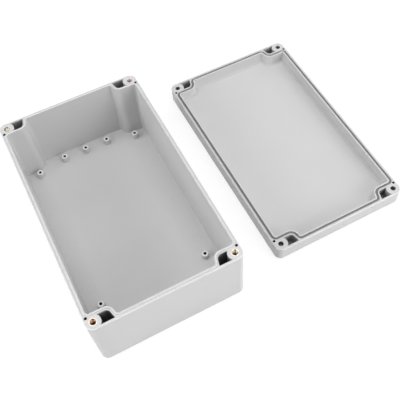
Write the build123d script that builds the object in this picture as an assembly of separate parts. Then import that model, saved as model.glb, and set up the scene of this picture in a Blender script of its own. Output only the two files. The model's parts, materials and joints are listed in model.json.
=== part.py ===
from build123d import *
import math
import os

# Plastic project box: a deep base with moulded-in brass inserts, and its lid with a sealing strip
# and four screws. The lid has been taken off and lies upside down beside the base.
# Millimetres. The origin is the centre of the base's underside, +X to the lid, +Z up.

# Overall sizes
box_width = 120.0
box_length = 200.0
base_height = 60.0
lid_height = 16.0
lid_gap = 34.4
lid_shift = 9.8

# Walls and draft
wall = 3.4
base_floor = 3.0
lid_top = 5.0
draft_angle = 0.5
base_bottom_fillet = 2.5
lid_top_fillet = 3.0
rim_chamfer = 0.4

# Seal: a tongue on the base's rim enters a groove in the lid
tongue_width = 1.4
tongue_height = 1.2
tongue_chamfer = 0.3
groove_clearance = 0.3
groove_depth = 3.0
groove_lip = 1.3
strip_clearance = 0.1
strip_thickness = 2.0
strip_chamfer = 0.5

# Corner blocks, measured along the seal line: it leaves the long side, runs behind the
# block and turns back to the short side on a slant
block_length = 19.7
block_depth = 11.6
block_slant = 14.0
seal_corner_r = 3.3
block_end_r = 5.5
block_foot_r = 2.8
smallest_corner_r = 0.8

# Screws, their inserts and the blocks' other holes
screw_inset = 5.8
insert_r = 2.9
insert_length = 8.0
insert_relief = 3.0
insert_waist_depth = 0.45
insert_waist_length = 2.0
insert_mouth_r = 2.4
insert_mouth_depth = 0.4
thread_r = 2.0
thread_bore_r = 1.65
screw_length = 10.0
screw_clearance = 0.2
head_r = 3.6
head_height = 2.8
head_clearance = 0.4
recess_depth = 12.0
driver_slot_width = 1.0
driver_slot_length = 4.6
driver_slot_depth = 1.6
screw_edge = 0.4
strap_hole_r = 1.1
strap_hole_depth = 6.0
strap_hole_side_inset = 2.2
strap_hole_end_inset = 10.4

# Wells beside the screws, with the wall-mounting holes in their floors
well_skin = 1.6
well_web = 1.1
well_floor = 3.5
wall_hole_r = 2.3
wall_hole_side_inset = 15.2
wall_hole_end_inset = 5.6

# Standoffs for circuit boards
standoff_height = 5.5
standoff_r = 3.0
standoff_bore_r = 1.3
standoff_bore_depth = 6.0
board_side_inset = 15.0
board_end_inset = 18.8
short_board_pitch = 140.4
rail_end_inset = 12.6
rail_pitch = 20.0

half_width = box_width / 2
half_length = box_length / 2
corner_r = screw_inset
seal_inset = wall - tongue_width / 2
groove_width = tongue_width + 2 * groove_clearance
lid_x = box_width + lid_gap
quadrants = [(1, 1), (-1, 1), (-1, -1), (1, -1)]


def seal_face(inward):
    """Face inside the seal line, moved inward by this much (outward if it is negative)."""
    side_x = half_width - seal_inset - inward
    end_y = half_length - seal_inset - inward
    block_y = half_length - block_depth - inward
    tilt = math.radians(block_slant)
    slant_shift = inward / math.cos(tilt)
    block_x = half_width - block_length + inward * math.tan(tilt) - slant_shift
    foot_x = block_x - (end_y - block_y) * math.tan(tilt)
    convex_r = max(seal_corner_r - inward, smallest_corner_r)
    foot_r = max(block_foot_r - inward, smallest_corner_r)
    end_r = block_end_r + inward
    quarter = [(side_x, block_y, convex_r), (block_x, block_y, end_r), (foot_x, end_y, foot_r)]
    corners = []
    for sign_x, sign_y in quadrants:
        turn = quarter if sign_x == sign_y else quarter[::-1]
        corners += [(sign_x * x, sign_y * y, r) for x, y, r in turn]
    points = [(x, y) for x, y, r in corners]
    outline = FilletPolyline(*points, radius=[r for x, y, r in corners], close=True)
    return make_face(outline)


def well_face(seal_width):
    """Plan of one well: between the web behind the seal, the outer skin and the screw's boss."""
    behind_line = seal_width / 2 + well_web
    inner_y = half_length - block_depth + behind_line
    outer_y = half_length - well_skin
    tilt = math.radians(block_slant)
    line_x = half_width - block_length + behind_line / math.cos(tilt)
    top = line_x - (inner_y - half_length + block_depth) * math.tan(tilt)
    foot = line_x - (outer_y - half_length + block_depth) * math.tan(tilt)
    screw_x = half_width - screw_inset
    screw_y = half_length - screw_inset
    corners = [(top, inner_y), (screw_x, inner_y), (screw_x, outer_y), (foot, outer_y)]
    plan = Polygon(*corners, align=None) - Pos(screw_x, screw_y) * Circle(corner_r)
    inner_corner = plan.vertices().sort_by(Axis.X)[1]
    return fillet(inner_corner, block_end_r - behind_line)


def in_each_corner(shape):
    """The shape of the +X +Y corner, mirrored or turned into all four."""
    return [shape, mirror(shape, about=Plane.YZ), Rot(0, 0, 180) * shape, mirror(shape, about=Plane.XZ)]


def drilled(x, y, mouth_z, radius, depth):
    """A blind hole that goes down from its mouth."""
    return Pos(x, y, mouth_z - depth / 2) * Cylinder(radius, depth)


def cut_block_holes(shell, rim_z, floor_z, seal_width):
    """The wells and strap holes, which the base's rim and the lid's both have."""
    well = extrude(Pos(0, 0, rim_z) * well_face(seal_width), -(rim_z - floor_z), taper=draft_angle)
    strap_x = half_width - strap_hole_side_inset
    strap_y = half_length - strap_hole_end_inset
    strap = drilled(strap_x, strap_y, rim_z, strap_hole_r, strap_hole_depth)
    return shell - in_each_corner(well) - in_each_corner(strap)


def outer_shell(height, edge_fillet):
    """Rounded block, open rim up, that narrows to its rounded closed side."""
    rim = Pos(0, 0, height) * RectangleRounded(box_width, box_length, corner_r)
    block = extrude(rim, -height, taper=draft_angle)
    block = fillet(block.edges().group_by(Axis.Z)[0], edge_fillet)
    return chamfer(block.edges().group_by(Axis.Z)[-1], rim_chamfer)


def hollow(rim_z, floor_z, inward):
    """The space inside the walls, which narrows to its floor."""
    return extrude(Pos(0, 0, rim_z) * seal_face(inward), -(rim_z - floor_z), taper=draft_angle)


def tongue():
    """The raised rib along the inner edge of the base's rim."""
    half = tongue_width / 2
    ring = Pos(0, 0, base_height) * (seal_face(-half) - seal_face(half))
    rib = extrude(ring, tongue_height)
    return chamfer(rib.edges().group_by(Axis.Z)[-1], tongue_chamfer)


def standoff_places():
    """Corner standoffs, two for a shorter board, and a row of three at each end."""
    board_x = half_width - board_side_inset
    board_y = half_length - board_end_inset
    rail_y = half_length - rail_end_inset
    places = [(sx * board_x, sy * board_y) for sx, sy in quadrants]
    places += [(sx * board_x, board_y - short_board_pitch) for sx in (-1, 1)]
    places += [(step * rail_pitch, sy * rail_y) for sy in (-1, 1) for step in (-1, 0, 1)]
    return places


def standoff(x, y):
    return Pos(x, y, base_floor + standoff_height / 2) * Cylinder(standoff_r, standoff_height)


def base_shell():
    shell = outer_shell(base_height, base_bottom_fillet)
    shell -= hollow(base_height, base_floor, tongue_width / 2)
    shell += tongue()
    shell = cut_block_holes(shell, base_height, well_floor, tongue_width)
    screw_x = half_width - screw_inset
    screw_y = half_length - screw_inset
    seat = drilled(screw_x, screw_y, base_height, insert_r, insert_length)
    relief = drilled(screw_x, screw_y, base_height, thread_r, insert_length + insert_relief)
    wall_x = half_width - wall_hole_side_inset
    wall_y = half_length - wall_hole_end_inset
    wall_hole = drilled(wall_x, wall_y, well_floor, wall_hole_r, well_floor)
    shell = shell - in_each_corner(seat) - in_each_corner(relief) - in_each_corner(wall_hole)
    places = standoff_places()
    shell += [standoff(x, y) for x, y in places]
    standoff_top = base_floor + standoff_height
    return shell - [drilled(x, y, standoff_top, standoff_bore_r, standoff_bore_depth) for x, y in places]


def brass_insert():
    """Threaded bush, flush with the rim, with a countersunk mouth and a waist that the plastic grips."""
    waist_r = insert_r - insert_waist_depth
    band = (insert_length - insert_waist_length) / 2
    profile = Polyline(
        (thread_bore_r, 0),
        (insert_r, 0),
        (insert_r, band),
        (waist_r, band),
        (waist_r, insert_length - band),
        (insert_r, insert_length - band),
        (insert_r, insert_length),
        (insert_mouth_r, insert_length),
        (thread_bore_r, insert_length - insert_mouth_depth),
        close=True,
    )
    bush = revolve(Plane.XZ * make_face(profile), Axis.Z)
    return Pos(half_width - screw_inset, half_length - screw_inset, base_height - insert_length) * bush


def lid_shell():
    shell = outer_shell(lid_height, lid_top_fillet)
    half_groove = groove_width / 2
    shell -= hollow(lid_height, lid_top, half_groove + groove_lip)
    groove = Pos(0, 0, lid_height) * (seal_face(-half_groove) - seal_face(half_groove))
    shell -= extrude(groove, -groove_depth)
    shell = cut_block_holes(shell, lid_height, lid_top, groove_width)
    screw_x = half_width - screw_inset
    screw_y = half_length - screw_inset
    hole = drilled(screw_x, screw_y, lid_height, thread_r + screw_clearance, lid_height)
    recess = drilled(screw_x, screw_y, recess_depth, head_r + head_clearance, recess_depth)
    return shell - in_each_corner(hole) - in_each_corner(recess)


def seal_strip():
    """Closed loop of soft cord laid in the bottom of the lid's groove."""
    half = groove_width / 2 - strip_clearance
    ring = Pos(0, 0, lid_height - groove_depth) * (seal_face(-half) - seal_face(half))
    strip = extrude(ring, strip_thickness)
    return chamfer(strip.edges().group_by(Axis.Z)[-1], strip_chamfer)


def lid_screw():
    """Pan-headed screw that stands on its head in the lid's recess."""
    head = Pos(0, 0, head_height / 2) * Cylinder(head_r, head_height)
    head = chamfer(head.edges().group_by(Axis.Z)[0], screw_edge)
    shank = Pos(0, 0, head_height + screw_length / 2) * Cylinder(thread_r, screw_length)
    shank = chamfer(shank.edges().group_by(Axis.Z)[-1], screw_edge)
    slot = Box(driver_slot_length, driver_slot_width, 2 * driver_slot_depth)
    cross = slot + Rot(0, 0, 90) * slot
    screw = head + shank - cross
    return Pos(half_width - screw_inset, half_length - screw_inset, 0) * screw


def main():
    os.makedirs("parts", exist_ok=True)
    nodes = {"base_shell": base_shell()}
    for number, insert in enumerate(in_each_corner(brass_insert()), 1):
        nodes[f"brass_insert_{number}"] = insert
    lid_place = Pos(lid_x, lid_shift, 0)
    nodes["lid_shell"] = lid_place * lid_shell()
    nodes["seal_strip"] = lid_place * seal_strip()
    for number, screw in enumerate(in_each_corner(lid_screw()), 1):
        nodes[f"lid_screw_{number}"] = lid_place * screw
    for name, shape in nodes.items():
        export_step(shape, f"parts/{name}.step")
        print(name, round(shape.volume), "mm3")


main()
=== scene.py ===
import json
import math
import bpy
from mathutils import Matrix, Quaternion, Vector

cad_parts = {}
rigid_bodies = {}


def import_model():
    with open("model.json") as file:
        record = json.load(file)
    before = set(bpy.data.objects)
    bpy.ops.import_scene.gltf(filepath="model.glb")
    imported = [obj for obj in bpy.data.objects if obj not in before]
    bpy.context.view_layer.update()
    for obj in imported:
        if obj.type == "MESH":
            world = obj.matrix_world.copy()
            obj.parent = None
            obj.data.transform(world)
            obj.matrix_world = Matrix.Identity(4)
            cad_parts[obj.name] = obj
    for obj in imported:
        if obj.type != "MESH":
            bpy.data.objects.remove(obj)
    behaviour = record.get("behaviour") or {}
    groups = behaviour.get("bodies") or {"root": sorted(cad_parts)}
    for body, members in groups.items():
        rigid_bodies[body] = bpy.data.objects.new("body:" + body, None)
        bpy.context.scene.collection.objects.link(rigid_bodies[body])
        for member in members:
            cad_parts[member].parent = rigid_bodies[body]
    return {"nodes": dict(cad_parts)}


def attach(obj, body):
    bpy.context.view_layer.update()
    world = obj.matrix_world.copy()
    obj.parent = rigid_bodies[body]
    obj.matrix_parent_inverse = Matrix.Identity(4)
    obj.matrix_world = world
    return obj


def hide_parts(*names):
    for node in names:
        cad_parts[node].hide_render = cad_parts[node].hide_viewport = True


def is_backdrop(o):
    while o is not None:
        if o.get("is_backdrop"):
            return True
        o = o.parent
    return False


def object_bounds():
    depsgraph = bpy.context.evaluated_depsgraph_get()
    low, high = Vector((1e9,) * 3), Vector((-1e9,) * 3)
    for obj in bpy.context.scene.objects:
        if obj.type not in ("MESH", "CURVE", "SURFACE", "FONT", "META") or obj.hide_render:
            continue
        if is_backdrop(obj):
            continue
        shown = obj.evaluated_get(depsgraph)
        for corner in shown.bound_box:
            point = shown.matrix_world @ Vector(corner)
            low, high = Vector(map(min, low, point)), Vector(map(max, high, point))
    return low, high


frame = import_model()
cad_low, cad_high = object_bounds()
nodes = frame["nodes"]
bpy.ops.object.select_all(action="DESELECT")


# Camera
# It stands in front of the base, a little to its left, and looks down into the open box and lid.
# The photograph is cropped from a wider frame, so the lens is shifted.
camera_azimuth = math.radians(-26.17)
camera_elevation = math.radians(57.81)
camera_roll = math.radians(-2.43)
camera_distance = 0.54314
camera_target = Vector((0.08661, -0.02140, 0))


def direction(azimuth, elevation):
    """Unit vector from the object. Azimuth 0 is the near side, and positive is to the right."""
    level = math.cos(elevation)
    return Vector((math.sin(azimuth) * level, -math.cos(azimuth) * level, math.sin(elevation)))


towards_camera = direction(camera_azimuth, camera_elevation)
bpy.ops.object.camera_add(location=camera_target + towards_camera * camera_distance)
camera = bpy.context.object
camera.name = "photo_camera"
camera.rotation_mode = "QUATERNION"
level_view = (-towards_camera).to_track_quat("-Z", "Y")
camera.rotation_quaternion = level_view @ Quaternion((0, 0, 1), camera_roll)
camera.data.lens = 57.08
camera.data.sensor_width = 36
camera.data.shift_x = -0.0717
camera.data.shift_y = 0.0067
camera.data.clip_start = 0.01
bpy.context.scene.camera = camera
bpy.context.scene.view_settings.view_transform = "Standard"


# Studio
# A white table under soft boxes, one overhead and the rest in a ring round it. The table and the
# room behind it show plain white, and the table keeps the object's faint shadow.
lamp_distance = 1.5
box_middle = (cad_low + cad_high) / 2


def soft_box(name, azimuth, elevation, size, power):
    """A square lamp in this direction, in degrees, that faces the middle of the object."""
    away = direction(math.radians(azimuth), math.radians(elevation))
    bpy.ops.object.light_add(type="AREA", location=box_middle + away * lamp_distance)
    lamp = bpy.context.object
    lamp.name = name
    lamp.rotation_mode = "QUATERNION"
    lamp.rotation_quaternion = (-away).to_track_quat("-Z", "Y")
    lamp.data.shape = "SQUARE"
    lamp.data.size = size
    lamp.data.energy = power


soft_box("top_soft_box", 0, 88, 1.2, 11.8)
soft_box("left_low_soft_box", -90, 25, 0.9, 12.3)
soft_box("left_high_soft_box", -90, 45, 0.9, 3.7)
soft_box("front_low_soft_box", 30, 20, 0.9, 11.5)
soft_box("front_high_soft_box", 30, 40, 0.9, 3.7)
soft_box("right_low_soft_box", 90, 12, 0.9, 4.3)
soft_box("right_high_soft_box", 90, 45, 0.9, 2.0)
soft_box("back_right_soft_box", 135, 25, 0.9, 3.2)
soft_box("back_soft_box", 180, 25, 0.9, 2.5)


def feed(tree, node, inputs):
    """Sets the inputs of a node. One that is given a socket is linked to it."""
    for name, value in inputs.items():
        if isinstance(value, bpy.types.NodeSocket):
            tree.links.new(value, node.inputs[name])
        else:
            node.inputs[name].default_value = value


def put(tree, kind, inputs=None, **settings):
    """A new shader node of this kind, with its settings and inputs."""
    node = tree.nodes.new("ShaderNode" + kind)
    for name, value in settings.items():
        setattr(node, name, value)
    feed(tree, node, inputs or {})
    return node


def maths(tree, kind, first, second=0.0, third=0.0):
    """The result of a Math node of this kind."""
    return put(tree, "Math", {0: first, 1: second, 2: third}, operation=kind).outputs[0]


def mixed(tree, share, first, second, kind="RGBA"):
    """What lies this share of the way from the first colour or number to the second."""
    return put(tree, "Mix", {0: share, "A": first, "B": second}, data_type=kind).outputs["Result"]


room = bpy.data.worlds.new("white_room")
room.use_nodes = True
bpy.context.scene.world = room
tree = room.node_tree
tree.nodes.clear()
seen_by = put(tree, "LightPath").outputs
seen = maths(tree, "MAXIMUM", seen_by["Is Camera Ray"], seen_by["Is Glossy Ray"])
white_wall = put(tree, "Background", {"Color": (1, 1, 1, 1), "Strength": seen})
put(tree, "OutputWorld", {"Surface": white_wall.outputs[0]})

# The camera sees a dark table that glows, and so is white but for its shadows. The object gets the
# light that a matt white table gives back.
table_white = (0.88, 0.88, 0.88, 1)
table_dark = (0.2, 0.2, 0.2, 1)
table_glow = 0.82

bpy.ops.mesh.primitive_plane_add(size=6, location=(0, 0, 0))
table = bpy.context.object
table.name = "table_top"
table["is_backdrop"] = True
white_table = bpy.data.materials.new("white_table")
white_table.use_nodes = True
tree = white_table.node_tree
tree.nodes.clear()
seen = put(tree, "LightPath").outputs["Is Camera Ray"]
matt = put(tree, "BsdfDiffuse", {"Color": mixed(tree, seen, table_white, table_dark)})
glow = put(tree, "Emission", {"Strength": maths(tree, "MULTIPLY", seen, table_glow)})
both = put(tree, "AddShader", {0: matt.outputs[0], 1: glow.outputs[0]})
put(tree, "OutputMaterial", {"Surface": both.outputs[0]})
table.data.materials.append(white_table)


# Base
# The deep half of the box, injection moulded in light grey plastic: spark-eroded outside and
# smoother inside, with faint rings on the floor where the ejector pins pushed it off its core.
base_centre = (0, 0, 0)
rim_height = 0.060
base_floor = 0.003
base_underside = 0.0027
tongue_height = 0.0012
rim_chamfer = 0.0004
tongue_chamfer = 0.0003
edge_radius = 0.0004
screw_across, screw_along = 0.0542, 0.0942
strap_across, strap_along = 0.0578, 0.0896
board_across, board_along = 0.0450, 0.0812
short_board_along = -0.0592
rail_across, rail_along = 0.0200, 0.0874
relief_radius, relief_mouth = 0.0022, 0.054
strap_radius = 0.0012
standoff_top = 0.0085
standoff_bore = 0.00135
standoff_ring = 0.0023

# How the material tells the places of a moulding apart. All that is lower than the top of its
# underside is outside. The outer wall starts this far from the axis of a corner's rounding, which
# is the screw's. The wells start behind two webs, a straight one and one on a slant, measured
# square to it. A chamfer's painted highlight reaches this share of it from its middle, short of
# its edges. What is this close to a floor or a mouth touches it, and the painted shade in a hole
# is full this far in.
wall_start = 0.005
straight_web = 0.0898
slanted_web = 0.0618
block_slant = math.radians(14)
chamfer_share = 0.48
touching = 0.0003
hole_fade = 0.0005

# The marks of the ejector pins.
pin_radius = 0.0032
pin_ring_width = 0.00025
pin_spacing = 0.0438
first_pin = 0.0025
pin_row_end = 0.06
base_pins_across = 0.0468

# Tones and finish of the plastic. The grain's height is a share of the one outside.
moulded_grey = (0.56, 0.56, 0.56, 1)
# A painted highlight on the chamfers of the rim and tongue and round the standoffs' mouths.
painted_highlight_grey = (0.8, 0.8, 0.8, 1)
# Painted shade deep in the corner wells and the holes.
painted_shade_grey = (0.04, 0.04, 0.04, 1)
pin_ring_grey = (0.4, 0.4, 0.4, 1)
pin_ring_strength = 0.35
edge_highlight = 0.6
inside_roughness, outside_roughness = 0.46, 0.58
cloud_roughness = 0.2
pin_smoothness = 0.06
pin_ring_depth = 2.0
inside_grain = 0.2


def new_group(name, inputs, outputs):
    """An empty node group, the sockets that its nodes take from, and the node they give to."""
    group = bpy.data.node_groups.new(name, "ShaderNodeTree")
    for label, kind, value in inputs:
        socket = group.interface.new_socket(label, in_out="INPUT", socket_type="NodeSocket" + kind)
        socket.default_value = value
    for label, kind in outputs:
        group.interface.new_socket(label, in_out="OUTPUT", socket_type="NodeSocket" + kind)
    given = group.nodes.new("NodeGroupInput").outputs
    result = group.nodes.new("NodeGroupOutput")
    return group, given, result


def use_group(tree, group, inputs):
    """Places a node group in a material, with its own values."""
    node = tree.nodes.new("ShaderNodeGroup")
    node.node_tree = group
    feed(tree, node, inputs)
    return node.outputs


def vector_maths(tree, kind, first, second=(0, 0, 0)):
    """The result of a Vector Math node of this kind."""
    node = put(tree, "VectorMath", {0: first, 1: second}, operation=kind)
    return node.outputs["Value" if kind in ("LENGTH", "DISTANCE", "DOT_PRODUCT") else "Vector"]


def scaled(tree, colour, factor):
    """A colour made lighter or darker."""
    return put(tree, "VectorMath", {0: colour, "Scale": factor}, operation="SCALE").outputs["Vector"]


def place_from(tree, centre):
    """Where each point of the surface is, measured from this centre."""
    return vector_maths(tree, "SUBTRACT", put(tree, "TexCoord").outputs["Object"], centre)


def parts_of(tree, vector):
    """The three parts of a vector: across, along and height."""
    return put(tree, "SeparateXYZ", {0: vector}).outputs


def from_0_to_1(tree, value, factor):
    """A value times a factor, held between 0 and 1."""
    return put(tree, "Math", {0: value, 1: factor}, operation="MULTIPLY", use_clamp=True).outputs[0]


def new_material(name):
    """A material, its node tree and its Principled shader."""
    material = bpy.data.materials.new(name)
    material.use_nodes = True
    return material, material.node_tree, material.node_tree.nodes["Principled BSDF"]


def dress(piece, material):
    """Gives a piece its only material."""
    piece.data.materials.clear()
    piece.data.materials.append(material)


# Where a moulding is outside, how deep inside a corner well, whether that well is at the far end,
# and whether it is on the small chamfers of the rim and tongue, all judged from one quarter of it.
box_places, given, result = new_group(
    "box_places",
    [("Centre", "Vector", (0, 0, 0)), ("Rim Height", "Float", rim_height),
     ("Underside", "Float", base_underside), ("Tongue", "Float", 0.0)],
    [("Outside", "Float"), ("Depth In Well", "Float"), ("Far End", "Float"), ("Edge", "Float")],
)
tree = box_places
place = place_from(tree, given["Centre"])
far_end = maths(tree, "GREATER_THAN", parts_of(tree, place)["Y"], 0.0)
quarter = vector_maths(tree, "ABSOLUTE", place)
across, along, height = parts_of(tree, quarter)
past_corner = vector_maths(tree, "SUBTRACT", quarter, (screw_across, screw_along, 1))
past_corner = vector_maths(tree, "MAXIMUM", past_corner)
outer_wall = maths(tree, "GREATER_THAN", vector_maths(tree, "LENGTH", past_corner), wall_start)
underside = maths(tree, "LESS_THAN", height, given["Underside"])
below_rim = maths(tree, "SUBTRACT", given["Rim Height"], height)
under_rim = maths(tree, "GREATER_THAN", below_rim, rim_chamfer)
outside = maths(tree, "MULTIPLY", maths(tree, "MAXIMUM", outer_wall, underside), under_rim)
on_chamfer = maths(tree, "COMPARE", below_rim, rim_chamfer / 2, rim_chamfer * chamfer_share)
rim_edge = maths(tree, "MULTIPLY", outer_wall, on_chamfer)
below_tongue = maths(tree, "ADD", below_rim, given["Tongue"])
on_chamfer = maths(tree, "COMPARE", below_tongue, tongue_chamfer / 2, tongue_chamfer * chamfer_share)
above_rim = maths(tree, "LESS_THAN", below_rim, -tongue_chamfer / 3)
tongue_edge = maths(tree, "MULTIPLY", on_chamfer, above_rim)
past_slant = vector_maths(tree, "DOT_PRODUCT", quarter, (math.cos(block_slant), math.sin(block_slant), 0))
past_slant = maths(tree, "GREATER_THAN", past_slant, slanted_web)
past_web = maths(tree, "GREATER_THAN", along, straight_web)
in_block = maths(tree, "MULTIPLY", past_slant, past_web)
in_well = maths(tree, "MULTIPLY", in_block, maths(tree, "SUBTRACT", 1.0, outer_wall))
feed(tree, result, {"Outside": outside, "Depth In Well": maths(tree, "MULTIPLY", in_well, below_rim),
                    "Far End": far_end, "Edge": maths(tree, "MAXIMUM", rim_edge, tongue_edge)})

# How deep a place is inside one round hole, and the holes that are its mirror images, and whether
# it is on the ring round the mouth of a standoff that gets a painted highlight.
hole_depth, given, result = new_group(
    "hole_depth",
    [("Centre", "Vector", (0, 0, 0)), ("Hole", "Vector", (0, 0, 0)), ("Mirrored Along", "Float", 1.0),
     ("Radius", "Float", 0.001), ("Mouth Height", "Float", rim_height), ("Painted Highlight Radius", "Float", 0.0)],
    [("Depth", "Float"), ("Painted Highlight", "Float")],
)
tree = hole_depth
across, along, height = parts_of(tree, place_from(tree, given["Centre"]))
folded = mixed(tree, given["Mirrored Along"], along, maths(tree, "ABSOLUTE", along), kind="FLOAT")
beside = put(tree, "CombineXYZ", {0: maths(tree, "ABSOLUTE", across), 1: folded}).outputs[0]
off_axis = vector_maths(tree, "DISTANCE", beside, given["Hole"])
in_hole = maths(tree, "LESS_THAN", off_axis, given["Radius"])
below_mouth = maths(tree, "SUBTRACT", given["Mouth Height"], height)
round_mouth = maths(tree, "LESS_THAN", off_axis, given["Painted Highlight Radius"])
at_mouth = maths(tree, "COMPARE", below_mouth, 0.0, touching)
feed(tree, result, {"Depth": maths(tree, "MULTIPLY", in_hole, below_mouth),
                    "Painted Highlight": maths(tree, "MULTIPLY", round_mouth, at_mouth)})

# The moulded skin: slow flow clouds in the colour, a fine grain, and a gloss that follows both.
moulded_skin, given, result = new_group(
    "moulded_skin",
    [("Colour", "Color", moulded_grey), ("Roughness", "Float", 0.5), ("Clouds", "Float", 0.04),
     ("Grain Scale", "Float", 2200), ("Grain Height", "Float", 1.0)],
    [("Colour", "Color"), ("Roughness", "Float"), ("Height", "Float")],
)
tree = moulded_skin
place = put(tree, "TexCoord").outputs["Object"]
flow = put(tree, "TexNoise", {"Vector": place, "Scale": 22, "Detail": 3, "Distortion": 1.5}).outputs[0]
cloud = maths(tree, "SUBTRACT", flow, 0.5)
grain = put(tree, "TexNoise", {"Vector": place, "Scale": given["Grain Scale"], "Detail": 2}).outputs[0]
lighter = maths(tree, "MULTIPLY_ADD", cloud, given["Clouds"], 1.0)
lighter = maths(tree, "MULTIPLY_ADD", maths(tree, "SUBTRACT", grain, 0.5), given["Clouds"], lighter)
feed(tree, result, {"Colour": scaled(tree, given["Colour"], lighter),
                    "Roughness": maths(tree, "MULTIPLY_ADD", cloud, cloud_roughness, given["Roughness"]),
                    "Height": maths(tree, "MULTIPLY", grain, given["Grain Height"])})

# The ejector pins' marks: a ring for each pin, in rows along the long sides of the floor.
pin_marks, given, result = new_group(
    "pin_marks",
    [("Centre", "Vector", (0, 0, 0)), ("Pins Across", "Float", base_pins_across),
     ("Floor Height", "Float", base_floor)],
    [("Disc", "Float"), ("Ring", "Float")],
)
tree = pin_marks
across, along, height = parts_of(tree, place_from(tree, given["Centre"]))
off_row = maths(tree, "SUBTRACT", maths(tree, "ABSOLUTE", across), given["Pins Across"])
past_pin = maths(tree, "SUBTRACT", along, first_pin)
past_pin = maths(tree, "WRAP", past_pin, pin_spacing / 2, -pin_spacing / 2)
off_pin = put(tree, "CombineXYZ", {0: off_row, 1: past_pin}).outputs[0]
off_pin = vector_maths(tree, "LENGTH", off_pin)
on_floor = maths(tree, "COMPARE", height, given["Floor Height"], touching)
in_row = maths(tree, "LESS_THAN", maths(tree, "ABSOLUTE", along), pin_row_end)
marked = maths(tree, "MULTIPLY", on_floor, in_row)
disc = maths(tree, "LESS_THAN", off_pin, pin_radius)
off_ring = maths(tree, "ABSOLUTE", maths(tree, "SUBTRACT", off_pin, pin_radius))
ring = maths(tree, "SUBTRACT", 1.0, from_0_to_1(tree, off_ring, 1 / pin_ring_width))
feed(tree, result, {"Disc": maths(tree, "MULTIPLY", disc, marked),
                    "Ring": maths(tree, "MULTIPLY", ring, marked)})


def round_hole(across, along, radius, mouth_height, mirrored=1.0, painted_highlight_radius=0.0, dark=1.0):
    """What the hole_depth group needs for a round hole and its mirror images, and how dark their painted
    shade gets.
    """
    inputs = {"Hole": (across, along, 0), "Radius": radius, "Mouth Height": mouth_height,
              "Mirrored Along": mirrored, "Painted Highlight Radius": painted_highlight_radius}
    return inputs, dark


def standoff_hole(across, along, mirrored=1.0):
    """The bore of a standoff on the base's floor, with its ring of painted highlight."""
    return round_hole(across, along, standoff_bore, standoff_top, mirrored, standoff_ring)


def cove_painted_shade(tree, colour, foot, cove, shade):
    """A colour with painted shade half way up a cove of this radius, where it faces the most lamps."""
    height = parts_of(tree, put(tree, "TexCoord").outputs["Object"])["Z"]
    in_cove = maths(tree, "COMPARE", height, foot + cove / 2, cove / 2)
    upright = parts_of(tree, put(tree, "NewGeometry").outputs["True Normal"])["Z"]
    level = maths(tree, "SQRT", maths(tree, "SUBTRACT", 1.0, maths(tree, "MULTIPLY", upright, upright)))
    half_way = maths(tree, "MULTIPLY", maths(tree, "MULTIPLY", upright, level), in_cove)
    return scaled(tree, colour, maths(tree, "MULTIPLY_ADD", half_way, -2 * shade, 1.0))


def grey_plastic(name, centre, rim, underside, floor, pins_across, well_fade, near_well_shade, far_well_shade, holes,
                 tongue=0.0, cove=0.0, cove_shade=0.0):
    """The light grey plastic of one moulding, with its marks and holes in their places."""
    material, tree, shader = new_material(name)
    where = use_group(tree, box_places, {"Centre": centre, "Rim Height": rim, "Underside": underside,
                                         "Tongue": tongue})
    pins = use_group(tree, pin_marks, {"Centre": centre, "Floor Height": floor, "Pins Across": pins_across})
    # Painted shade, growing with depth down into the corner wells and the holes, as strong as given for the
    # near and the far wells.
    well_shade = maths(tree, "MULTIPLY_ADD", where["Far End"], far_well_shade - near_well_shade, near_well_shade)
    painted_shade = maths(tree, "MULTIPLY", from_0_to_1(tree, where["Depth In Well"], 1 / well_fade), well_shade)
    # A painted highlight on the chamfers of the rim and tongue, and on the rings round the standoffs' mouths.
    painted_highlight = maths(tree, "MULTIPLY", where["Edge"], edge_highlight)
    for inputs, dark in holes:
        hole = use_group(tree, hole_depth, {"Centre": centre, **inputs})
        hole_shade = maths(tree, "MULTIPLY", from_0_to_1(tree, hole["Depth"], 1 / hole_fade), dark)
        painted_shade = maths(tree, "MAXIMUM", painted_shade, hole_shade)
        painted_highlight = maths(tree, "MAXIMUM", painted_highlight, hole["Painted Highlight"])
    colour = mixed(tree, painted_highlight, moulded_grey, painted_highlight_grey)
    colour = mixed(tree, painted_shade, colour, painted_shade_grey)
    colour = mixed(tree, maths(tree, "MULTIPLY", pins["Ring"], pin_ring_strength), colour, pin_ring_grey)
    if cove:
        colour = cove_painted_shade(tree, colour, floor, cove, cove_shade)
    spark_eroded = where["Outside"]
    gloss = maths(tree, "MULTIPLY_ADD", spark_eroded, outside_roughness - inside_roughness, inside_roughness)
    gloss = maths(tree, "MULTIPLY_ADD", pins["Disc"], -pin_smoothness, gloss)
    grain = maths(tree, "MULTIPLY_ADD", spark_eroded, 1 - inside_grain, inside_grain)
    look = use_group(tree, moulded_skin, {"Colour": colour, "Roughness": gloss, "Grain Height": grain})
    relief = maths(tree, "MULTIPLY_ADD", pins["Ring"], -pin_ring_depth, look["Height"])
    soft_edges = put(tree, "Bevel", {"Radius": edge_radius}, samples=8).outputs[0]
    bump = put(tree, "Bump", {"Strength": 1.0, "Distance": 0.00002, "Height": relief, "Normal": soft_edges})
    feed(tree, shader, {"Base Color": look["Colour"], "Roughness": look["Roughness"],
                        "Normal": bump.outputs[0]})
    return material


# Painted shade in the holes of the base: the relief below each insert, seen through its bore, the strap holes
# and the standoffs' bores.
base_holes = [
    round_hole(screw_across, screw_along, relief_radius, relief_mouth),
    round_hole(strap_across, strap_along, strap_radius, rim_height),
    standoff_hole(board_across, board_along),
    standoff_hole(board_across, short_board_along, mirrored=0.0),
    standoff_hole(0.0, rail_along),
    standoff_hole(rail_across, rail_along),
]
base_plastic = grey_plastic("base_plastic", base_centre, rim_height, base_underside, base_floor,
                            base_pins_across, well_fade=0.0025, near_well_shade=0.78, far_well_shade=0.6,
                            holes=base_holes, tongue=tongue_height)
dress(nodes["base_shell"], base_plastic)


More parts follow.
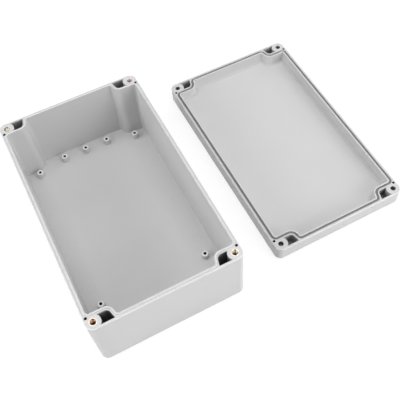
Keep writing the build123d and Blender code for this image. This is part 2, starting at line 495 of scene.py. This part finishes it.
# Threaded inserts
# Four M4 bushes turned from brass, with knurled bands and a waist that the plastic grips. They
# stand in the mould while the base is shot round them, so that their faces are flush with the rim.
insert_radius = 0.0029
insert_length = 0.008
insert_foot = rim_height - insert_length
waist_low, waist_high = 0.055, 0.057
waist_depth = 0.00045
band_land = 0.0005
knurl_sides = 64
knurl_depth = 0.00015
mouth_radius = 0.0024
mouth_depth = 0.0004
thread_root = 0.00203
thread_crest = 0.00165
thread_pitch = 0.0007
thread_turns = 10
thread_overlap = 0.00004
thread_steps = 32
tool_mark_pitch = 0.00009
tool_mark_height, blotch_height = 0.25, 0.5
spot_roughness = 0.15
same_place = 1e-5


def select_only(*pieces):
    """Selects these pieces and nothing else, and makes the first of them the active one."""
    bpy.ops.object.select_all(action="DESELECT")
    for piece in pieces:
        piece.select_set(True)
    bpy.context.view_layer.objects.active = pieces[0]


def pick(piece, kind, wanted):
    """Selects the vertices, edges or faces that pass this test, and only them, in edit mode."""
    bpy.ops.object.mode_set(mode="OBJECT")
    select_only(piece)
    bpy.ops.object.mode_set(mode="EDIT")
    bpy.ops.mesh.select_mode(type=kind)
    bpy.ops.mesh.select_all(action="DESELECT")
    bpy.ops.object.mode_set(mode="OBJECT")
    mesh = piece.data
    for one in {"VERT": mesh.vertices, "EDGE": mesh.edges, "FACE": mesh.polygons}[kind]:
        one.select = wanted(one)
    bpy.ops.object.mode_set(mode="EDIT")


def pick_open_edges():
    """Selects the edges round the openings of the mesh in edit mode."""
    bpy.ops.mesh.select_mode(type="EDGE")
    bpy.ops.mesh.select_all(action="DESELECT")
    bpy.ops.mesh.select_non_manifold(extend=False)


def turn_faces_out():
    """Makes all faces of the mesh in edit mode point outwards, and leaves edit mode."""
    bpy.ops.mesh.select_all(action="SELECT")
    bpy.ops.mesh.normals_make_consistent(inside=False)
    bpy.ops.object.mode_set(mode="OBJECT")


def on_axis(point):
    """Whether a point is on the upright axis on which a turned piece is modelled."""
    return math.hypot(point.x, point.y) < same_place


def is_wall(face):
    """Whether a face stands upright, or nearly."""
    return abs(face.normal.z) < 0.5


def is_top(face):
    """Whether a face looks straight up, or nearly."""
    return face.normal.z > 0.9


def thread_ridge(root, crest, start, turns):
    """One closed ridge of thread with a flat crest, wound up the axis from this height."""
    root_width = thread_pitch * 7 / 8
    crest_width = thread_pitch / 8
    middle = ((root + crest) / 2, 0, start)
    bpy.ops.mesh.primitive_plane_add(size=1, location=middle, rotation=(math.pi / 2, 0, 0))
    ridge = bpy.context.object
    bpy.ops.object.transform_apply(location=True, rotation=True, scale=True)
    bpy.ops.transform.resize(value=(abs(root - crest), 1, root_width), center_override=middle)
    bpy.ops.object.transform_apply(location=True, rotation=True, scale=True)
    pick(ridge, "VERT", lambda corner: abs(corner.co.x - crest) < same_place)
    bpy.ops.transform.resize(value=(1, 1, crest_width / root_width), center_override=(crest, 0, start))
    bpy.ops.object.mode_set(mode="OBJECT")
    winding = ridge.modifiers.new("winding", "SCREW")
    winding.angle = math.tau
    winding.screw_offset = thread_pitch
    winding.iterations = turns
    winding.steps = winding.render_steps = thread_steps
    bpy.ops.object.modifier_apply(modifier="winding")
    bpy.ops.object.mode_set(mode="EDIT")
    bpy.ops.mesh.select_all(action="SELECT")
    bpy.ops.mesh.remove_doubles(threshold=1e-7)
    pick_open_edges()
    bpy.ops.mesh.edge_face_add()
    turn_faces_out()
    return ridge


def copies_in_corners(piece, name, centre, body, node_name, corner_materials):
    """Copies a finished piece into three corners, moves it to the last, and gives each its material."""
    for number, (side, end) in enumerate([(1, 1), (-1, 1), (-1, -1), (1, -1)], 1):
        select_only(piece)
        if number < 4:
            bpy.ops.object.duplicate()
        placed = bpy.context.object
        placed.name = name + str(number)
        bpy.ops.transform.translate(value=(centre[0] + side * screw_across, centre[1] + end * screw_along, 0))
        bpy.ops.object.transform_apply(location=True, rotation=True, scale=True)
        dress(placed, corner_materials[number - 1])
        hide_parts(node_name + str(number))
        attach(placed, body)


# The look of turned metal: fine rings round the nearest screw's axis, blotches of tarnish, and a
# darker metal in the thread than on the faces, which is painted shade in the bore. From the height
# of the base's rim down, the thread is painted more and more in the Tarnish colour.
turned_metal, given, result = new_group(
    "turned_metal",
    [("Centre", "Vector", (0, 0, 0)), ("Face Metal", "Color", (0.8, 0.6, 0.42, 1)),
     ("Thread Metal", "Color", (0.5, 0.4, 0.3, 1)), ("Tarnish", "Color", (0.3, 0.2, 0.1, 1)),
     ("Tarnish Amount", "Float", 0.3), ("Thread Radius", "Float", thread_root),
     ("Roughness", "Float", 0.25), ("Painted Depth Reach", "Float", 0.1)],
    [("Colour", "Color"), ("Roughness", "Float"), ("Height", "Float")],
)
tree = turned_metal
place = put(tree, "TexCoord").outputs["Object"]
quarter = vector_maths(tree, "ABSOLUTE", place_from(tree, given["Centre"]))
in_plan = vector_maths(tree, "MULTIPLY", quarter, (1, 1, 0))
radius = vector_maths(tree, "DISTANCE", in_plan, (screw_across, screw_along, 0))
blotch = put(tree, "TexNoise", {"Vector": place, "Scale": 700, "Detail": 4}).outputs[0]
spots = put(tree, "MapRange", {"Value": blotch, "From Min": 0.42, "From Max": 0.6}).outputs["Result"]
tool_marks = maths(tree, "SINE", maths(tree, "MULTIPLY", radius, math.tau / tool_mark_pitch))
on_thread = maths(tree, "LESS_THAN", radius, given["Thread Radius"])
metal = mixed(tree, on_thread, given["Face Metal"], given["Thread Metal"])
below_mouth = maths(tree, "SUBTRACT", rim_height, parts_of(tree, place)["Z"])
# Down the thread from the rim's height the colour is painted towards the Tarnish colour: painted shade where
# that is dark, painted light where it is pale.
painted_depth = from_0_to_1(tree, maths(tree, "DIVIDE", below_mouth, given["Painted Depth Reach"]), on_thread)
tarnish_and_painted_depth = maths(tree, "MAXIMUM", maths(tree, "MULTIPLY", spots, given["Tarnish Amount"]), painted_depth)
relief = maths(tree, "MULTIPLY", tool_marks, tool_mark_height)
relief = maths(tree, "MULTIPLY_ADD", blotch, blotch_height, relief)
feed(tree, result, {"Colour": mixed(tree, tarnish_and_painted_depth, metal, given["Tarnish"]),
                    "Roughness": maths(tree, "MULTIPLY_ADD", spots, spot_roughness, given["Roughness"]),
                    "Height": relief})


def machined(name, centre, face, thread, tarnish, amount, thread_radius, roughness, painted_depth_reach):
    """A metal material for the turned pieces round this centre."""
    material, tree, shader = new_material(name)
    look = use_group(tree, turned_metal, {
        "Centre": centre, "Face Metal": face, "Thread Metal": thread, "Tarnish": tarnish,
        "Tarnish Amount": amount, "Thread Radius": thread_radius, "Roughness": roughness,
        "Painted Depth Reach": painted_depth_reach})
    bump = put(tree, "Bump", {"Strength": 1.0, "Distance": 0.000006, "Height": look["Height"]})
    feed(tree, shader, {"Metallic": 1.0, "Base Color": look["Colour"], "Roughness": look["Roughness"],
                        "Normal": bump.outputs[0]})
    return material


bpy.ops.object.select_all(action="DESELECT")
bpy.ops.mesh.primitive_cylinder_add(vertices=knurl_sides, radius=insert_radius, depth=insert_length,
                                    location=(0, 0, rim_height - insert_length / 2))
bush = bpy.context.object
bpy.ops.object.transform_apply(location=True, rotation=True, scale=True)
band_edges = [insert_foot + band_land, waist_low - band_land, waist_high + band_land, rim_height - band_land]
for cut in band_edges + [waist_low, waist_high]:
    pick(bush, "FACE", lambda face: True)
    bpy.ops.mesh.bisect(plane_co=(0, 0, cut), plane_no=(0, 0, 1))


def in_waist(face):
    """The wall of the waist between the two bands."""
    return is_wall(face) and waist_low < face.center.z < waist_high


def on_knurl(face):
    """Every second face of the two bands between the plain lands."""
    turn = math.atan2(face.center.y, face.center.x) / math.tau * knurl_sides
    in_low_band = band_edges[0] < face.center.z < band_edges[1]
    in_high_band = band_edges[2] < face.center.z < band_edges[3]
    return is_wall(face) and (in_low_band or in_high_band) and int(math.floor(turn)) % 2 == 0


for wanted, depth in ((in_waist, waist_depth), (on_knurl, knurl_depth)):
    pick(bush, "FACE", wanted)
    pressed_in = {"value": -depth, "use_even_offset": True}
    bpy.ops.mesh.extrude_region_shrink_fatten(TRANSFORM_OT_shrink_fatten=pressed_in)
for end in (rim_height, insert_foot):
    pick(bush, "FACE", lambda face: abs(face.center.z - end) < same_place and on_axis(face.center))
    bpy.ops.mesh.inset(thickness=insert_radius - mouth_radius, use_even_offset=True)
    bpy.ops.mesh.inset(thickness=mouth_radius - thread_root, depth=-mouth_depth, use_even_offset=True)
pick(bush, "FACE", lambda face: not is_wall(face) and on_axis(face.center))
bpy.ops.mesh.bridge_edge_loops()
turn_faces_out()
ridge = thread_ridge(thread_root + thread_overlap, thread_crest, insert_foot + mouth_depth, thread_turns)
select_only(bush, ridge)
bpy.ops.object.join()
bpy.ops.object.shade_smooth_by_angle(angle=math.radians(28))

# The four are lit and shaded copies of one brass, each with its own painted tones of face and thread. What is
# inside the edge of the mouth counts as thread.
# Each insert's tarnish colour is also painted into the depth of its bore: the dark oil as painted shade, the
# pale film as painted light.
oil_and_painted_shade = (0.055, 0.03, 0.015, 1)
film_and_painted_light = (0.85, 0.81, 0.72, 1)
bore_edge = 0.00238
corner_brass = [
    machined("brass_far_right", base_centre, face=(0.72, 0.62, 0.62, 1), thread=(0.36, 0.3, 0.3, 1),
             tarnish=oil_and_painted_shade, amount=0.25, thread_radius=bore_edge, roughness=0.25, painted_depth_reach=0.007),
    machined("brass_far_left", base_centre, face=(0.6, 0.56, 0.48, 1), thread=(0.14, 0.12, 0.085, 1),
             tarnish=film_and_painted_light, amount=0.2, thread_radius=bore_edge, roughness=0.2, painted_depth_reach=0.005),
    machined("brass_near_left", base_centre, face=(0.88, 0.77, 0.69, 1), thread=(0.32, 0.2, 0.13, 1),
             tarnish=oil_and_painted_shade, amount=0.4, thread_radius=bore_edge, roughness=0.12, painted_depth_reach=0.008),
    machined("brass_near_right", base_centre, face=(0.86, 0.78, 0.7, 1), thread=(0.46, 0.38, 0.27, 1),
             tarnish=oil_and_painted_shade, amount=0.4, thread_radius=bore_edge, roughness=0.15, painted_depth_reach=0.006),
]
copies_in_corners(bush, "m4_insert_", base_centre, "base", "brass_insert_", corner_brass)


# Lid
# The shallow half of the box, a moulding of the same plastic. It has been taken off and lies upside
# down, so that its tray and the groove round the tray show. The walls of the tray run into its
# floor in a wide cove, for which a copy of the moulding is recut.
lid_centre = (0.1544, 0.0098, 0)
lid_height = 0.016
lid_underside = 0.0032
lid_pins_across = 0.044
lid_screw_radius = 0.0023
tray_floor = 0.005
tray_cove = 0.0034
cove_steps = 8
cove_shade = 0.2
corner_across, corner_along = 0.038, 0.085
shortest_side = 0.0005
least_turn = 0.01


def crossing(point, way, other_point, other_way):
    """Where two lines cross in plan, each given by a point and a direction."""
    return point + way * ((other_point - point).cross(other_way) / way.cross(other_way))


def to_left(way):
    """A direction in plan, turned a quarter to the left."""
    return Vector((-way.y, way.x))


def moved_in(outline, distance):
    """An anticlockwise outline moved inward. A corner that is too tight for it becomes a mitre."""
    count = len(outline)
    sides = [outline[(here + 1) % count] - outline[here] for here in range(count)]
    ways = [side.normalized() for side in sides]
    short = [side.length < shortest_side for side in sides]
    turning = [ways[here - 1].cross(ways[here]) > least_turn for here in range(count)]
    moved = []
    for here in range(count):
        before, after, corner = ways[here - 1], ways[here], outline[here]
        if turning[here]:
            first = last = here
            while turning[first - 1] and short[first - 1]:
                first -= 1
            while turning[(last + 1) % count] and short[last]:
                last = (last + 1) % count
            mitre = crossing(outline[first], ways[first - 1], outline[last], ways[last])
            half_turn = ways[first - 1].angle(ways[last]) / 2
            if distance > (mitre - outline[first]).length / math.tan(half_turn):
                before, after, corner = ways[first - 1], ways[last], mitre
        inward = (to_left(before) + to_left(after)).normalized()
        moved.append(corner + inward * distance / inward.dot(to_left(before)))
    return moved


def in_tray(face):
    """On the floor of the tray, and not on that of a corner well."""
    across, along = abs(face.center.x - lid_centre[0]), abs(face.center.y - lid_centre[1])
    on_floor = abs(face.center.z - tray_floor) < same_place and is_top(face)
    return on_floor and not (across > corner_across and along > corner_along)


# The tray is cut off below the top of the cove, with its floor.
select_only(nodes["lid_shell"])
bpy.ops.object.duplicate()
lid = bpy.context.object
lid.name = "lid_moulding"
bpy.ops.mesh.customdata_custom_splitnormals_clear()
pick(lid, "FACE", lambda face: True)
bpy.ops.mesh.remove_doubles(threshold=1e-6)
bpy.ops.mesh.dissolve_limited(angle_limit=math.radians(0.1))
bpy.ops.mesh.select_all(action="SELECT")
bpy.ops.mesh.bisect(plane_co=(0, 0, tray_floor + tray_cove), plane_no=(0, 0, 1))
pick(lid, "FACE", in_tray)
bpy.ops.mesh.select_more()
bpy.ops.mesh.delete(type="FACE")
pick_open_edges()
bpy.ops.object.mode_set(mode="OBJECT")

# The points of the cut are put in order round it, anticlockwise.
next_to = {}
for edge in lid.data.edges:
    if edge.select:
        first, second = edge.vertices
        next_to.setdefault(first, []).append(second)
        next_to.setdefault(second, []).append(first)
loop = [min(next_to)]
while len(loop) < len(next_to):
    loop.append(next(one for one in next_to[loop[-1]] if one not in loop[-2:]))
cut = [lid.data.vertices[one].co.xy for one in loop]
if sum(cut[here - 1].cross(cut[here]) for here in range(len(cut))) < 0:
    cut.reverse()

# The cove is a stack of rings that follow the cut, each further in, down to the new floor.
points, faces = [], []
for step in range(cove_steps + 1):
    turn = math.pi / 2 * step / cove_steps
    height = tray_floor + tray_cove * (1 - math.sin(turn))
    points += [(*spot, height) for spot in moved_in(cut, tray_cove * (1 - math.cos(turn)))]
for step in range(cove_steps):
    high, low = step * len(cut), (step + 1) * len(cut)
    for here in range(len(cut)):
        there = (here + 1) % len(cut)
        faces.append((high + here, high + there, low + there, low + here))
faces.append(tuple(range(cove_steps * len(cut), (cove_steps + 1) * len(cut))))
cove_mesh = bpy.data.meshes.new("tray_cove")
cove_mesh.from_pydata(points, [], faces)
cove = bpy.data.objects.new("tray_cove", cove_mesh)
bpy.context.collection.objects.link(cove)
select_only(lid, cove)
bpy.ops.object.join()
pick(lid, "FACE", lambda face: True)
bpy.ops.mesh.remove_doubles(threshold=2e-6)
turn_faces_out()
bpy.ops.object.shade_smooth_by_angle(angle=math.radians(28))
for face in lid.data.polygons:
    if in_tray(face):
        face.use_smooth = False

# The lid's screw holes, strap holes and corner wells get painted shade, and its cove a band of painted shade.
lid_holes = [
    round_hole(screw_across, screw_along, lid_screw_radius, lid_height, dark=0.7),
    round_hole(strap_across, strap_along, strap_radius, lid_height),
]
lid_plastic = grey_plastic("lid_plastic", lid_centre, lid_height, lid_underside, tray_floor,
                           lid_pins_across, well_fade=0.005, near_well_shade=0.62, far_well_shade=0.62,
                           holes=lid_holes, cove=tray_cove, cove_shade=cove_shade)
dress(lid, lid_plastic)
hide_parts("lid_shell")
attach(lid, "lid")


# Seal
# A closed loop of soft grey rubber cord, pressed into the bottom of the lid's groove. The base's
# tongue presses on it when the box is shut.
rubber_grey = (0.25, 0.25, 0.25, 1)
seal_rubber, tree, shader = new_material("seal_rubber")
look = use_group(tree, moulded_skin, {"Colour": rubber_grey, "Roughness": 0.78, "Clouds": 0.12,
                                      "Grain Scale": 1500})
place = put(tree, "TexCoord").outputs["Object"]
pores = put(tree, "TexVoronoi", {"Vector": place, "Scale": 1800}).outputs["Distance"]
relief = maths(tree, "ADD", look["Height"], pores)
bump = put(tree, "Bump", {"Strength": 0.8, "Distance": 0.00004, "Height": relief})
feed(tree, shader, {"Base Color": look["Colour"], "Roughness": look["Roughness"], "Normal": bump.outputs[0]})
dress(nodes["seal_strip"], seal_rubber)


# Lid screws
# Four M4 pan-headed screws with cross recesses, cold headed from steel, thread rolled and
# blackened. They stand on their heads in the lid's counterbores, with their tips in its holes.
head_radius = 0.0036
head_height = 0.0028
head_round = 0.0013
head_sides = 48
core_radius = 0.00162
screw_crest = 0.0020
plain_shank = 0.0006
screw_turns = 12
screw_tip = 0.0128
tip_chamfer = 0.0004
tip_taper = 0.75
recess_width = 0.0010
recess_reach = 0.0018
recess_depth = 0.0016
recess_taper = 0.6

bpy.ops.object.select_all(action="DESELECT")
bpy.ops.mesh.primitive_cylinder_add(vertices=head_sides, radius=head_radius, depth=head_height,
                                    location=(0, 0, head_height / 2))
screw = bpy.context.object
bpy.ops.object.transform_apply(location=True, rotation=True, scale=True)
corners = screw.data.vertices
pick(screw, "EDGE", lambda edge: all(corners[end].co.z < same_place for end in edge.vertices))
bpy.ops.mesh.bevel(offset=head_round, offset_type="OFFSET", segments=6, profile=0.5, affect="EDGES")
pick(screw, "FACE", is_top)
bpy.ops.mesh.inset(thickness=head_radius - core_radius, use_even_offset=True)
for rise in (screw_tip - tip_chamfer - head_height, tip_chamfer):
    bpy.ops.mesh.extrude_region_move(TRANSFORM_OT_translate={"value": (0, 0, rise)})
bpy.ops.transform.resize(value=(tip_taper, tip_taper, 1), center_override=(0, 0, screw_tip))
bpy.ops.object.mode_set(mode="OBJECT")

# The cross recess is punched with a cross that narrows towards its point.
bpy.ops.object.select_all(action="DESELECT")
bpy.ops.mesh.primitive_cube_add(size=1, location=(0, 0, 0))
driver = bpy.context.object
bpy.ops.transform.resize(value=(recess_width, recess_width, 2 * recess_depth))
bpy.ops.object.transform_apply(location=True, rotation=True, scale=True)
pick(driver, "FACE", is_wall)
bpy.ops.mesh.extrude_faces_move(TRANSFORM_OT_shrink_fatten={"value": recess_reach})
pick(driver, "VERT", lambda corner: corner.co.z > 0)
bpy.ops.transform.resize(value=(recess_taper, recess_taper, 1), center_override=(0, 0, recess_depth))
bpy.ops.object.mode_set(mode="OBJECT")
punch = screw.modifiers.new("cross_recess", "BOOLEAN")
punch.operation = "DIFFERENCE"
punch.solver = "EXACT"
punch.object = driver
select_only(screw)
bpy.ops.object.modifier_apply(modifier="cross_recess")
select_only(driver)
bpy.ops.object.delete()
ridge = thread_ridge(core_radius - thread_overlap, screw_crest, head_height + plain_shank, screw_turns)
select_only(screw, ridge)
bpy.ops.object.join()
bpy.ops.object.shade_smooth_by_angle(angle=math.radians(32))

blackened = (0.14, 0.14, 0.144, 1)
worn_dark = (0.03, 0.026, 0.022, 1)
shank_edge = 0.0021
black_steel = machined("black_steel", lid_centre, face=blackened, thread=blackened, tarnish=worn_dark,
                       amount=0.6, thread_radius=shank_edge, roughness=0.42, painted_depth_reach=1.0)
copies_in_corners(screw, "m4_screw_", lid_centre, "lid", "lid_screw_", [black_steel] * 4)

low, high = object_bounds()
